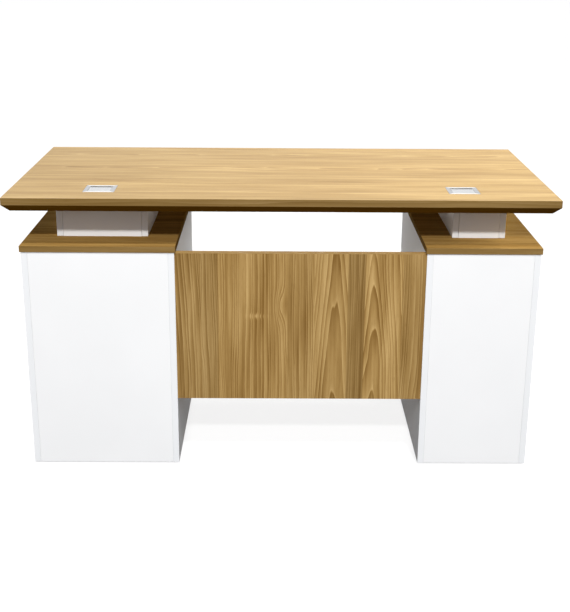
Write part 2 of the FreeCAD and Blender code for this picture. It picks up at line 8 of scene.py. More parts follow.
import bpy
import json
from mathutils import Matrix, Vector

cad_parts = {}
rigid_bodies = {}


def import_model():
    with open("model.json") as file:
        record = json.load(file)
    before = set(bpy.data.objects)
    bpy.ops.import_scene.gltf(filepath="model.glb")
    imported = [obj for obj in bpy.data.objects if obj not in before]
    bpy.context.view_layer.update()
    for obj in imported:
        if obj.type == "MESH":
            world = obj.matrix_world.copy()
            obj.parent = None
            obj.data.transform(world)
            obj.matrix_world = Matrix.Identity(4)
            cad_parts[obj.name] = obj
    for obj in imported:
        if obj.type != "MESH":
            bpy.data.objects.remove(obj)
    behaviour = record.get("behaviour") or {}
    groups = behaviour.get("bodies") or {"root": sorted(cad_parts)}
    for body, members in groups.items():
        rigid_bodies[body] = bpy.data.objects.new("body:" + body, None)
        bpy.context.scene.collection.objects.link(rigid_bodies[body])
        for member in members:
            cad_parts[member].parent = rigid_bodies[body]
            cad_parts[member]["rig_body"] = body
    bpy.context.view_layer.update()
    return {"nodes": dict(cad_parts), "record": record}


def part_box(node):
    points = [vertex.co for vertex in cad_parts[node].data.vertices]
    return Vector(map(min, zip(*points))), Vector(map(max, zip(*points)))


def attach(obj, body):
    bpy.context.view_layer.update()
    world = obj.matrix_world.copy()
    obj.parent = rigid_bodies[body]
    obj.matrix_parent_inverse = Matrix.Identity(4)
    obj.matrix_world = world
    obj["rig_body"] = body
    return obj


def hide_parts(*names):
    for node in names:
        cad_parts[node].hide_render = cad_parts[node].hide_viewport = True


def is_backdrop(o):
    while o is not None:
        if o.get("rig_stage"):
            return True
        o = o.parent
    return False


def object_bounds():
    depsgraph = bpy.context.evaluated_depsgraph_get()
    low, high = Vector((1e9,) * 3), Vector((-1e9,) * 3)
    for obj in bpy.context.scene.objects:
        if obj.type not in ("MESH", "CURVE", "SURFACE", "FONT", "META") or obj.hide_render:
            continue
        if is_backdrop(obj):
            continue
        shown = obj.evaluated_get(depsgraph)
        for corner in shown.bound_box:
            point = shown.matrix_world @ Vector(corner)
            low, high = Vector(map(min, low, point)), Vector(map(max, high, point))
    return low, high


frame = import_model()
nodes = frame["nodes"]
slots = {part["node"]: part["material_slot"] for part in frame["record"]["subparts"]}

# %% [markdown]
# ## Colours
# Colours are picked on a screen as sRGB hex values, but shaders add and multiply light, so they need
# linear values. One function does the change for every colour in the script. The Standard view shows
# the rendered light as it is, with no film curve, so a surface looks about as its colour is written.

# %% Colours: one function from hex to linear light
import bpy

MM = 0.001
bpy.context.scene.view_settings.view_transform = "Standard"


def linear(hex_colour):
    """The linear RGBA of an sRGB hex colour such as #A08150."""
    values = [int(hex_colour[at:at + 2], 16) / 255 for at in (1, 3, 5)]
    return [v / 12.92 if v < 0.04045 else ((v + 0.055) / 1.055) ** 2.4 for v in values] + [1.0]


print("mid oak in linear light:", [round(v, 3) for v in linear("#A08150")])

# %% [markdown]
# ## Camera
# The photograph looks at the visitor's side from a little above. A pinhole camera was fitted to the
# desk's edges, which gave its place, its three angles and its focal length in pixels of a picture
# 612 pixels high. Blender measures a lens against the sensor's long side, so the pixels become
# millimetres there. The turn is built from three axes, which is easier to follow than Euler angles.

# %% Camera: the photograph's point of view
import math
from mathutils import Matrix, Vector

PICTURE_HEIGHT = 612
FOCAL_PIXELS = 1114.43
SENSOR = 36.0
CAMERA_PLACE = Vector((-0.01107, -3.05962, 1.37866))
PITCH, YAW, ROLL = (math.radians(angle) for angle in (18.51, 0.44, 0.41))

up = Vector((0, 0, 1))
level = Vector((math.sin(YAW), math.cos(YAW), 0))
ahead = level * math.cos(PITCH) - up * math.sin(PITCH)
above = level * math.sin(PITCH) + up * math.cos(PITCH)
beside = ahead.cross(above)
right_axis = beside * math.cos(ROLL) + above * math.sin(ROLL)
up_axis = above * math.cos(ROLL) - beside * math.sin(ROLL)

camera = bpy.data.objects.new("camera", bpy.data.cameras.new("camera"))
camera.data.sensor_width = SENSOR
camera.data.lens = FOCAL_PIXELS * SENSOR / PICTURE_HEIGHT
camera.matrix_world = Matrix.Translation(CAMERA_PLACE) @ Matrix(
    (right_axis, up_axis, -ahead)).transposed().to_4x4()
bpy.context.scene.collection.objects.link(camera)
bpy.context.scene.camera = camera
print("camera lens:", round(camera.data.lens, 2), "mm")

# %% [markdown]
# ## Node trees, and the sky of a white studio
# Materials, the world and Geometry Nodes are all trees of nodes. One function adds a node, sets its
# options and fills its inputs, each with a plain value or a link. Inputs go by name or by number: Map
# Range takes a value (0), the range it comes from (1, 2) and the one it goes to (3, 4), and a Mix takes
# a share (0) and two numbers (2, 3) or two colours (6, 7).
#
# The photograph's background is white. One bright world could give that, but it would flood the desk
# with light. So Light Path tells a look from a bounce: the camera and reflections see white, while the
# light that falls on the desk is softer. It gathers in front, because the risers under the desktop are
# lit from there in the photograph.

# %% Sky: white to look at, soft to be lit by
SKY, SKY_FRONT, SKY_ELSEWHERE = "#F1F4FF", 0.72, 0.16
FRONT_FULL, FRONT_GONE = -1.0, -0.3


def add_node(tree, kind, inputs=(), **options):
    """Add a node with its options and inputs, and return its outputs. Math is short for ShaderNodeMath."""
    node = tree.nodes.new(kind if "Node" in kind else f"ShaderNode{kind}")
    for name, value in options.items():
        setattr(node, name, value)
    for key, value in dict(inputs).items():
        if isinstance(value, bpy.types.NodeSocket):
            tree.links.new(value, node.inputs[key])
        else:
            node.inputs[key].default_value = value
    return node.outputs


def seen(tree):
    """1 where a camera, a reflection or clear glass looks, 0 where light only bounces."""
    path = add_node(tree, "LightPath")
    looks = add_node(tree, "Math", {0: path["Is Camera Ray"], 1: path["Is Glossy Ray"]},
                     operation="MAXIMUM")[0]
    return add_node(tree, "Math", {0: looks, 1: path["Is Transmission Ray"]},
                    operation="MAXIMUM")[0]


world = bpy.data.worlds.new("white_studio")
world.use_nodes = True
bpy.context.scene.world = world
tree = world.node_tree
tree.nodes.clear()
bearing = add_node(tree, "TexCoord")["Generated"]
rearward = add_node(tree, "SeparateXYZ", {0: bearing})["Y"]
strength = add_node(tree, "MapRange", {
    0: rearward, 1: FRONT_FULL, 2: FRONT_GONE, 3: SKY_FRONT, 4: SKY_ELSEWHERE},
                    interpolation_type="SMOOTHSTEP")[0]
soft = add_node(tree, "Background", {"Color": linear(SKY), "Strength": strength})[0]
white = add_node(tree, "Background", {"Color": linear("#FFFFFF"), "Strength": 1.0})[0]
sky = add_node(tree, "MixShader", {0: seen(tree), 1: soft, 2: white})[0]
add_node(tree, "OutputWorld", {"Surface": sky})
print("sky: lights at", SKY_FRONT, "from the front and", SKY_ELSEWHERE, "elsewhere")

# %% [markdown]
# ## Floor
# The desk stands on matt white paint. A white floor throws so much light up that the undersides would
# glow, and in the photograph they are dark. So the floor works as the sky does: what looks at it sees
# white with a share of the desk's shadow in it, and light that bounces meets a dark floor.

# %% Floor: one large face of matt white paint
FLOOR_WHITE, FLOOR_BOUNCE = "#FFFFFF", "#353434"
FLOOR_REACH = 40.0
SHADOW_DEPTH = 0.26


def new_material(name):
    """An empty material and its node tree."""
    material = bpy.data.materials.new(name)
    material.use_nodes = True
    material.node_tree.nodes.clear()
    return material, material.node_tree


floor_paint, tree = new_material("matt_white_floor_paint")
lit = add_node(tree, "BsdfDiffuse", {"Color": linear(FLOOR_WHITE)})[0]
even = add_node(tree, "Emission", {"Color": linear(FLOOR_WHITE), "Strength": 1.0})[0]
looked_at = add_node(tree, "MixShader", {0: SHADOW_DEPTH, 1: even, 2: lit})[0]
bounced = add_node(tree, "BsdfDiffuse", {"Color": linear(FLOOR_BOUNCE)})[0]
surface = add_node(tree, "MixShader", {0: seen(tree), 1: bounced, 2: looked_at})[0]
add_node(tree, "OutputMaterial", {"Surface": surface})

corners = [(x * FLOOR_REACH, y * FLOOR_REACH, 0) for x, y in ((-1, -1), (1, -1), (1, 1), (-1, 1))]
floor_mesh = bpy.data.meshes.new("studio_floor")
floor_mesh.from_pydata(corners, [], [(0, 1, 2, 3)])
floor_mesh.materials.append(floor_paint)
floor = bpy.data.objects.new("studio_floor", floor_mesh)
bpy.context.scene.collection.objects.link(floor)
floor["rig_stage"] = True
print("floor:", 2 * FLOOR_REACH, "m wide")

# %% [markdown]
# ## Far lamps
# In the photograph a high light from the front draws a bright strip along the front of each pedestal
# top. A near lamp would leave a pool of light on the floor, so this one is a Sun, which lights the whole
# floor alike and keeps the background even. A level of 1 shows a surface that faces the lamp at the
# value of its own colour. A weaker Sun behind keeps the user's side readable. It shines straight along
# the desk's depth, so that the pedestals' inner sides stay in shade.

# %% Far lamps: the key in front and one behind
def hang(light, towards):
    """Put a lamp in the scene, turned so that its back points in a direction."""
    lamp = bpy.data.objects.new(light.name, light)
    lamp.rotation_mode = "QUATERNION"
    lamp.rotation_quaternion = towards.to_track_quat("Z", "Y")
    bpy.context.scene.collection.objects.link(lamp)
    return lamp


def far_lamp(name, azimuth, elevation, level, spread):
    """A lamp far away, with its azimuth counted from the visitor's side towards +X."""
    turn, rise = math.radians(azimuth), math.radians(elevation)
    flat = math.cos(rise)
    light = bpy.data.lights.new(name, "SUN")
    light.energy = level * math.pi
    light.angle = math.radians(spread)
    hang(light, Vector((math.sin(turn) * flat, -math.cos(turn) * flat, math.sin(rise))))
    print(name, "at level", level)


far_lamp("key_lamp", azimuth=10, elevation=56, level=0.57, spread=4)
far_lamp("rear_lamp", azimuth=180, elevation=52, level=0.42, spread=4)

# %% [markdown]
# ## Soft boxes
# Flat lamps near the desk give the rest: a strip in front that reaches under the desktop to the foot of
# the risers, a small fill in the knee space, and boxes for the right, the top, the left and the rear.
# An area lamp spreads its power over half a sphere and weakens with distance, so the power is worked
# out from the level at the point that it is aimed at. On the satin desktop the strip and the overhead
# box would lie as white bands in some views, so those two light the desk without being mirrored in it.

# %% Soft boxes: six flat lamps
def soft_box(name, place, aim, wide, high, level, mirrored=True):
    """A flat lamp with its level given at the point that it is aimed at."""
    place, aim = Vector(place), Vector(aim)
    light = bpy.data.lights.new(name, "AREA")
    light.shape = "RECTANGLE"
    light.size, light.size_y = wide, high
    light.energy = level * math.pi ** 2 * (place - aim).length_squared
    lamp = hang(light, place - aim)
    lamp.location = place
    lamp.visible_camera = False
    lamp.visible_glossy = mirrored
    print(name, "at level", level)


soft_box("low_front_strip", place=(0, -4.4, 3.35), aim=(0, -0.3, 0.48), wide=1.2, high=0.22, level=0.74,
         mirrored=False)
soft_box("knee_space_fill", place=(0, 0.62, 0.35), aim=(0, 0, 0.45), wide=0.5, high=0.1, level=0.2)
soft_box("right_softbox", place=(2.3, 0.2, 1.7), aim=(0.5, 0, 0.7), wide=1.0, high=0.8, level=1.0)
soft_box("overhead_softbox", place=(0.35, 0.1, 1.9), aim=(0.35, 0.1, 0.75), wide=0.8, high=0.8, level=0.6,
         mirrored=False)
soft_box("left_softbox", place=(-2.4, 0, 0.85), aim=(-0.6, 0, 0.55), wide=1.0, high=0.5, level=0.4)
soft_box("rear_softbox", place=(0, 3.6, 0.38), aim=(0, 0.3, 0.38), wide=0.6, high=0.6, level=0.36)

# %% [markdown]
# ## Boards with eased edges
# A real board never has a knife edge: its edge band is scraped to a small radius, and that radius
# catches a thin line of light. The frame's meshes are loose triangles, so a copy is merged and its flat
# triangles are joined into whole faces first. A Bevel modifier then rounds the sharp outer edges, which
# are marked by weight, and hardened normals keep the flat faces flat. Rounding by hand in mesh code
# would give the same shape with far more lines.

# %% Boards: a clean copy of a node's mesh
import bmesh

MERGE = 0.02 * MM
FLAT = math.radians(1)
SHARP = math.radians(30)


def clean_skin(node):
    """A node's triangles as one skin of whole faces, with its sharp outer edges marked."""
    skin = bmesh.new()
    skin.from_mesh(nodes[node].data)
    bmesh.ops.remove_doubles(skin, verts=skin.verts, dist=MERGE)
    bmesh.ops.dissolve_limit(skin, angle_limit=FLAT, verts=skin.verts, edges=skin.edges)
    weight = skin.edges.layers.float.new("bevel_weight_edge")
    for edge in skin.edges:
        if edge.is_manifold and edge.is_convex and edge.calc_face_angle() > SHARP:
            edge[weight] = 1.0
    return skin


sample = clean_skin("desktop")
print("desktop:", len(nodes["desktop"].data.polygons), "triangles become", len(sample.faces), "faces")
sample.free()

# %% [markdown]
# ## Pieces that stand for nodes
# A clean skin becomes an object at the origin, with its place in its mesh, as a node's own object is. It
# then rides with the node's body and stands for it, so the drawers and the door carry their dressed
# boards along when they move.

# %% Pieces: an eased object, and what it stands for
EASE_SEGMENTS = 3


def piece_from(skin, name, material, radius):
    """An object with this skin, its marked edges rounded to a radius."""
    mesh = bpy.data.meshes.new(name)
    skin.to_mesh(mesh)
    skin.free()
    mesh.shade_smooth()
    mesh.set_sharp_from_angle(angle=SHARP)
    mesh.materials.append(material)
    piece = bpy.data.objects.new(name, mesh)
    bpy.context.scene.collection.objects.link(piece)
    ease = piece.modifiers.new("eased_edges", "BEVEL")
    ease.width = radius
    ease.segments = EASE_SEGMENTS
    ease.limit_method = "WEIGHT"
    ease.harden_normals = True
    return piece


def stand_for(piece, node):
    """Let a piece ride with a node's body and stand for it."""
    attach(piece, nodes[node]["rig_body"])
    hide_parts(node)


print("edges are eased in", EASE_SEGMENTS, "steps")

# %% [markdown]
# ## Oak decor: where a point lies in the wood
# The desktop, the pedestal tops and the modesty panel are chipboard faced with a printed oak decor under
# satin melamine. The print shows staves of wood side by side. A picture could carry it, but a pattern
# worked out in millimetres needs no file and never repeats. It starts from a point's place: along the
# grain, across it and into the board. Attributes on the mesh hold what belongs to a stave: its tone, a
# start that moves its noise, its heart, and whether a face is the board's face (0), a long edge (1) or
# an end (2), because on edges and ends the three axes change parts.

# %% Oak: axes of the grain, and noise drawn out along it
def grain_axes(tree, along, across, depth):
    """A point's place on its stave in mm, and what the stave's attributes say."""
    place = add_node(tree, "TexCoord")["Object"]
    in_mm = add_node(tree, "VectorMath", {0: place, "Scale": 1 / MM}, operation="SCALE")[0]
    axes = add_node(tree, "SeparateXYZ", {0: in_mm})
    mark = add_node(tree, "Attribute", attribute_name="stave_tone")["Vector"]
    tone, start, band = add_node(tree, "SeparateXYZ", {0: mark})
    mark = add_node(tree, "Attribute", attribute_name="stave_heart")["Vector"]
    heart, behind, taper = add_node(tree, "SeparateXYZ", {0: mark})
    on_edge = add_node(tree, "Math", {0: band, 1: 0.5}, operation="GREATER_THAN")[0]
    on_end = add_node(tree, "Math", {0: band, 1: 1.5}, operation="GREATER_THAN")[0]
    return {
        "run": add_node(tree, "Mix", {0: on_end, 2: axes[along], 3: axes[across]})[0],
        "side": add_node(tree, "Mix", {0: on_edge, 2: axes[across], 3: axes[depth]})[0],
        "under": add_node(tree, "Mix", {0: on_edge, 2: axes[depth], 3: axes[across]})[0],
        "start": add_node(tree, "CombineXYZ", {0: start, 2: start})[0],
        "tone": tone, "heart": heart, "behind": behind, "taper": taper,
    }


def streaks(tree, grain, long, wide, detail=1.0):
    """Noise drawn out along the grain, from about -0.5 to 0.5, for a length and a width in mm."""
    shares = [add_node(tree, "Math", {0: grain[axis], 1: size}, operation="DIVIDE")[0]
              for axis, size in (("run", long), ("side", wide), ("under", wide))]
    stretched = add_node(tree, "CombineXYZ", dict(enumerate(shares)))[0]
    moved = add_node(tree, "VectorMath", {0: stretched, 1: grain["start"]}, operation="ADD")[0]
    noise = add_node(tree, "TexNoise", {"Vector": moved, "Scale": 1.0, "Detail": detail})[0]
    return add_node(tree, "Math", {0: noise, 1: 0.5}, operation="SUBTRACT")[0]


print("grain is worked out in steps of", MM, "m")

# %% [markdown]
# ## Oak decor: growth rings
# Each stave is a cut through a log. Its growth rings are shells round a heart, and where the cut passes
# near the heart they draw nested arches. So the pattern takes the distance to the heart, lets the log
# taper and bend, and counts rings. A knot is where a branch left the log: the rings rise round it, which
# adds to the distance there, most at its middle and a third as much at its rim. Real rings differ in
# width, so a slow noise moves the count. Wave Texture also draws rings, but it can't bend them so.

# %% Oak: counting rings
RING_WIDTH = 9.0
RING_SWING, SWING_PACE = 2.4, 0.45
BEND, BEND_BY = (420, 110), 34.0
RIPPLE, RIPPLE_BY = (130, 16), 5.0
KNOT_RIM = 0.37


def growth_rings(tree, grain, knots):
    """A point's place within its ring, from 0 to 1, and how far knots make it paler."""
    bend = add_node(tree, "Math", {0: streaks(tree, grain, *BEND), 1: BEND_BY},
                    operation="MULTIPLY")[0]
    offside = add_node(tree, "Math", {0: grain["side"], 1: grain["heart"]}, operation="SUBTRACT")[0]
    offside = add_node(tree, "Math", {0: offside, 1: bend}, operation="ADD")[0]
    reach = add_node(tree, "CombineXYZ", {0: offside, 1: grain["behind"]})[0]
    reach = add_node(tree, "VectorMath", {0: reach}, operation="LENGTH")["Value"]
    reach = add_node(tree, "Math", {0: grain["run"], 1: grain["taper"], 2: reach},
                     operation="MULTIPLY_ADD")[0]
    on_face = add_node(tree, "CombineXYZ", {0: grain["side"], 1: grain["run"]})[0]
    paleness = 0.0
    for knot_side, knot_run, wide, long, rise, pale in knots:
        off = add_node(tree, "VectorMath", {0: on_face, 1: (knot_side, knot_run, 0)},
                       operation="SUBTRACT")[0]
        off = add_node(tree, "VectorMath", {0: off, 1: (wide, long, 1)}, operation="DIVIDE")[0]
        off = add_node(tree, "VectorMath", {0: off, 1: off}, operation="DOT_PRODUCT")["Value"]
        near = add_node(tree, "Math", {0: KNOT_RIM, 1: off}, operation="POWER")[0]
        reach = add_node(tree, "Math", {0: near, 1: rise, 2: reach}, operation="MULTIPLY_ADD")[0]
        paleness = add_node(tree, "Math", {0: near, 1: pale, 2: paleness},
                            operation="MULTIPLY_ADD")[0]
    ripple = add_node(tree, "Math", {0: streaks(tree, grain, *RIPPLE), 1: RIPPLE_BY},
                      operation="MULTIPLY")[0]
    reach = add_node(tree, "Math", {0: reach, 1: ripple}, operation="ADD")[0]
    count = add_node(tree, "Math", {0: reach, 1: RING_WIDTH}, operation="DIVIDE")[0]
    swing = add_node(tree, "TexNoise", {"W": count, "Scale": SWING_PACE, "Detail": 1.0},
                     noise_dimensions="1D")[0]
    count = add_node(tree, "Math", {0: swing, 1: RING_SWING, 2: count}, operation="MULTIPLY_ADD")[0]
    return add_node(tree, "Math", {0: count}, operation="FRACT")[0], paleness


print("oak: rings about", RING_WIDTH, "mm apart, bent by up to", BEND_BY / 2, "mm")

# %% [markdown]
# ## Oak decor: the finished print
# A ring runs from dark, dense wood to pale wood, which a colour ramp draws. Broader streaks and finer
# fibres lie over it, and the stave's tone scales the result. A tint goes over it where a finish paints
# light or shade: a painted sheen on the desktop, painted shade on the pedestal tops and the bevel. Oak
# also has open pores, short dark dashes that the print sinks a little.

# %% Oak: the decor as a material
OAK_DARK, OAK_MID, OAK_LIGHT, OAK_PORE = "#7A5A2B", "#9C7C48", "#BB9B65", "#6A4B20"
RING_START, RING_STOPS = 0.95, ((0.1, 0.72), (0.45, 0.52), (0.85, 0.22), (0.95, 0.2))
RING_MEAN = 0.5
DARK_AT, MID_AT, LIGHT_AT = 0.12, 0.5, 0.92
# Each layer has the length and width of its streaks in mm, and then its share or its Map Range.
FLOW, FIBRE, CLOUD = ((260, 17, 2.0), 0.9), ((190, 4.6, 2.0), 0.36), ((500, 60), 0.8)
FADE, FADE_RANGE = (300, 45), {1: -0.2, 2: 0.2, 3: 0.5, 4: 1.0}
# Real pores are about 0.3 mm wide, too fine for the picture, so they are drawn coarser.
PORE, PORE_RANGE = (26, 1.1), {1: 0.1, 2: 0.24, 3: 0.0, 4: 0.36}
PORE_DEPTH, PORE_BUMP = 0.05 * MM, 0.5
SATIN_RANGE = {1: 0.0, 2: 1.0, 3: 0.5, 4: 0.42}


def oak_decor(name, along, across, depth, contrast, sheen, painted_tint="#FFFFFF", knots=()):
    """Printed oak under satin melamine, its grain along one axis: a soft gloss over warm figure."""
    material, tree = new_material(name)
    grain = grain_axes(tree, along, across, depth)
    ring, paleness = growth_rings(tree, grain, knots)
    profile = tree.nodes.new("ShaderNodeValToRGB")
    profile.color_ramp.elements[0].color = (RING_START, RING_START, RING_START, 1)
    for share, value in RING_STOPS:
        profile.color_ramp.elements.new(share).color = (value, value, value, 1)
    tree.links.new(ring, profile.inputs[0])

    fade = add_node(tree, "MapRange", {0: streaks(tree, grain, *FADE), **FADE_RANGE})[0]
    figure = add_node(tree, "Mix", {0: fade, 2: RING_MEAN, 3: profile.outputs[0]})[0]
    figure = add_node(tree, "Math", {0: figure, 1: paleness}, operation="ADD")[0]
    layers = [figure]
    for size, share in (FLOW, FIBRE, CLOUD):
        layers.append(add_node(tree, "Math", {
            0: streaks(tree, grain, *size), 1: share, 2: layers[-1]}, operation="MULTIPLY_ADD")[0])
    _, _, fibre, cloud = layers
    cloud = add_node(tree, "MapRange", {0: cloud, 3: 0.5 - contrast / 2, 4: 0.5 + contrast / 2},
                     clamp=False)[0]
    wood = tree.nodes.new("ShaderNodeValToRGB")
    ends = wood.color_ramp.elements
    ends[0].position, ends[0].color = DARK_AT, linear(OAK_DARK)
    ends[1].position, ends[1].color = LIGHT_AT, linear(OAK_LIGHT)
    ends.new(MID_AT).color = linear(OAK_MID)
    tree.links.new(cloud, wood.inputs[0])

    toned = add_node(tree, "VectorMath", {0: wood.outputs[0], "Scale": grain["tone"]},
                     operation="SCALE")[0]
    tinted_wood = add_node(tree, "VectorMath", {0: toned, 1: linear(painted_tint)[:3]},
                       operation="MULTIPLY")[0]
    pores = add_node(tree, "MapRange", {0: streaks(tree, grain, *PORE), **PORE_RANGE})[0]
    colour = add_node(tree, "Mix", {0: pores, 6: tinted_wood, 7: linear(OAK_PORE)},
                      data_type="RGBA")[2]
    sunk = add_node(tree, "Bump", {"Height": pores, "Distance": PORE_DEPTH, "Strength": PORE_BUMP},
                    invert=True)[0]
    gloss = add_node(tree, "MapRange", {0: fibre, **SATIN_RANGE})[0]
    shader = add_node(tree, "BsdfPrincipled", {
        "Base Color": colour, "Roughness": gloss, "Normal": sunk, "Specular IOR Level": sheen})[0]
    add_node(tree, "OutputMaterial", {"Surface": shader})
    return material


print("oak: pores drawn", PORE[1], "mm wide and", PORE[0], "mm long")

# %% [markdown]
# ## Oak finishes
# One decor, six finishes. The desktop is satin and shows its figure softly, and a paler tint on it is a
# painted sheen. The pedestal tops under it are matt, and a deeper, warmer tint on them is painted shade.
# Their grain lies along the desk. The modesty panel stands upright, and its print has the strongest
# contrast. Edge bands carry a plainer print, and the band on the desktop's bevelled underside is painted
# darker and warmer as shade. A knot is given by its place across and along the grain, its half width and
# half length in mm, how many mm the rings rise round it, and how much paler it is.

# %% Oak finishes: faces, edge bands and the bevel
X, Y, Z = 0, 1, 2
lengthwise = {"along": X, "across": Y, "depth": Z}
upright = {"along": Z, "across": X, "depth": Y}
TOP_KNOTS = [(-120, -430, 26, 120, 20, -0.25)]
PANEL_KNOTS = [(-66, 425, 20, 7, 4, 0.35), (-2, 453, 17, 42, 17, 0.0)]
# The desktop's tint is a painted sheen: paler and less saturated, as the satin top looks under the lamps.
oak_top_painted_light = oak_decor("printed_oak_decor_lengthwise_painted_light", **lengthwise, contrast=0.66, sheen=0.2,
                    painted_tint="#F7FCFF", knots=TOP_KNOTS)
# The pedestal tops' tint is painted shade: deeper and warmer, as oak looks under the desktop.
oak_cap_painted_shade = oak_decor("printed_oak_decor_matt_painted_shade", **lengthwise, contrast=0.7, sheen=0.0, painted_tint="#FFFBEC")
oak_edge = oak_decor("printed_oak_edge_band", **lengthwise, contrast=0.45, sheen=0.0)
# The bevel's dark, warm tint is painted shade under the desktop's front edge.
oak_bevel_painted_shade = oak_decor("printed_oak_bevel_band_painted_shade", **lengthwise, contrast=0.45, sheen=0.0, painted_tint="#FFD870")
oak_upright_edge = oak_decor("printed_oak_edge_band_upright", **upright, contrast=0.4, sheen=0.1)
oak_upright = oak_decor("printed_oak_decor_upright", **upright, contrast=1.0, sheen=0.15,
                        knots=PANEL_KNOTS)
print("oak finishes:", [m.name for m in bpy.data.materials if m.name.startswith("printed_oak")])

# %% [markdown]
# ## Staves
# A stave is described by its width, its tone, how far its heart lies from its left joint, how deep the
# heart lies behind the face and how fast the log tapers. A heart inside the stave and close behind the
# face gives arches, and one far to the side gives plain straight grain. The modesty panel is the part
# that the photograph shows best, so its staves are listed one by one. The others are drawn from a fixed
# seed, so that every run gives the same boards.

# %% Staves: listed, or drawn from a seed
import random

# Width in mm, tone, heart from the left joint in mm, heart behind the face in mm, taper.
MODESTY_STAVES = [
    (66, 0.89, -150, 60, 0.012),
    (45, 0.84, -220, 50, 0.006),
    (182, 1.02, -240, 70, 0.010),
    (70, 0.96, -200, 60, 0.004),
    (87, 0.99, 50, 18, 0.055),
    (45, 0.8, -190, 50, 0.008),
    (98, 1.04, 21, 12, 0.080),
    (59, 0.91, 260, 60, 0.010),
]
# Ranges for the drawn ones. An arched stave's heart is a share of its width, a plain one's is in mm.
STAVE_WIDTHS, TONE_SWING = (80, 150), (0.95, 1.05)
ARCHED_SHARE = 0.4
ARCHED_HEART, ARCHED_BEHIND, ARCHED_TAPER = (0.2, 0.8), (14, 30), (0.05, 0.08)
PLAIN_HEART, PLAIN_BEHIND, PLAIN_TAPER = (160, 300), (50, 80), (0.004, 0.012)


def drawn_staves(span, seed, tone):
    """Staves round a tone for a span in mm, drawn from a fixed seed: some of them with arches."""
    draw = random.Random(seed)
    staves, filled = [], 0
    while filled < span:
        width = draw.uniform(*STAVE_WIDTHS)
        arched = draw.random() < ARCHED_SHARE
        if arched:
            heart = width * draw.uniform(*ARCHED_HEART)
            behind = draw.uniform(*ARCHED_BEHIND)
            taper = draw.choice((-1, 1)) * draw.uniform(*ARCHED_TAPER)
        else:
            heart = draw.choice((-1, 1)) * draw.uniform(*PLAIN_HEART)
            behind = draw.uniform(*PLAIN_BEHIND)
            taper = draw.choice((-1, 1)) * draw.uniform(*PLAIN_TAPER)
        staves.append((width, tone * draw.uniform(*TONE_SWING), heart, behind, taper))
        filled += width
    return staves


print("modesty panel:", len(MODESTY_STAVES), "staves,", sum(row[0] for row in MODESTY_STAVES), "mm wide")

# %% [markdown]
# ## Laying the staves
# The joints between staves are real edges in the mesh: the skin is cut there, and each face keeps its
# stave's figure as attributes, so arches stop at the joints as they do on real boards. A texture that
# worked the joints out would need to know every width. Faces that turn away from the board's thickness
# are its bands, and those that lean are the bevel of the desktop's underside, painted darker than the
# rest as shade.

# %% Staves: cut a board at its joints and note each stave's figure
EDGE_HEART = -2000.0
BEVEL_SHADE_TONE = 0.38
STAVE_START = 37.0
FACE_LEAN, BEVEL_LEAN, SIDEWAYS = 0.8, 0.3, 0.5


def lay_staves(skin, low, across, thin, staves, band_tone_and_painted_light):
    """Cut a skin at the joints between staves and write each stave's figure on its faces."""
    heart_layer = skin.faces.layers.float_vector.new("stave_heart")
    tone_layer = skin.faces.layers.float_vector.new("stave_tone")
    joints = [low[across]]
    for width, *_ in staves:
        joints.append(joints[-1] + width * MM)
    normal = Vector([axis == across for axis in range(3)])
    for joint in joints[1:-1]:
        bmesh.ops.bisect_plane(skin, geom=[*skin.verts, *skin.edges, *skin.faces], dist=MERGE,
                               plane_co=normal * joint, plane_no=normal)
    for face in skin.faces:
        middle = face.calc_center_median()
        number = max(at for at, joint in enumerate(joints[:-1]) if at == 0 or middle[across] > joint)
        _, tone, heart, behind, taper = staves[number]
        lean = abs(face.normal[thin])
        on_edge, bevelled = lean < FACE_LEAN, BEVEL_LEAN < lean < FACE_LEAN
        band = (1.0 if abs(face.normal[across]) > SIDEWAYS else 2.0) if on_edge else 0.0
        figure = (EDGE_HEART, behind, 0.0) if on_edge else (joints[number] / MM + heart, behind, taper)
        face[heart_layer] = figure
        face.material_index = 2 if bevelled else int(on_edge)
        # The bevel's tone is painted shade; the bands' tone is partly a darker band print and partly painted
        # light or shade.
        face_tone = BEVEL_SHADE_TONE if bevelled else band_tone_and_painted_light if on_edge else tone
        face[tone_layer] = (face_tone, number * STAVE_START, band)


print("edge bands take straight grain, with a heart", -EDGE_HEART, "mm away")

# %% [markdown]
# ## Oak boards
# The desktop and the pedestal tops carry their grain along the desk, the modesty panel upright. Their
# edges are eased by a little more than a millimetre, which shows as the light line along the front. Each
# row gives a board's face, its bands, the axis across its staves and its thin axis, its staves, and the
# tone of its bands, which is partly painted light or shade.

# %% Oak boards: desktop, pedestal tops and modesty panel
OAK_EASE = 1.4 * MM
# The last number is the bands' tone. On the desktop and the pedestal tops it is partly a darker band print
# and partly painted shade; the modesty panel's bands are painted lighter, for its top edge that faces the
# lamps.
oak_boards = {
    # The desktop's staves are drawn lighter than the panel's: painted light on its top.
    "desktop": (oak_top_painted_light, [oak_edge, oak_bevel_painted_shade], Y, Z, drawn_staves(span=700, seed=11, tone=1.06), 0.61),
    "left_pedestal_top": (oak_cap_painted_shade, [oak_edge], Y, Z, drawn_staves(span=606, seed=5, tone=1.03), 0.67),
    "right_pedestal_top": (oak_cap_painted_shade, [oak_edge], Y, Z, drawn_staves(span=606, seed=8, tone=1.03), 0.67),
    "modesty_panel": (oak_upright, [oak_upright_edge], X, Y, MODESTY_STAVES, 1.2),
}
for node, (face_decor, band_decors, across, thin, staves, band_tone_and_painted_light) in oak_boards.items():
    skin = clean_skin(node)
    lay_staves(skin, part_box(node)[0], across, thin, staves, band_tone_and_painted_light)
    piece = piece_from(skin, f"{node}_board", face_decor, OAK_EASE)
    for decor in band_decors:
        piece.data.materials.append(decor)
    stand_for(piece, node)
    print(piece.name, "with", len(staves), "staves")

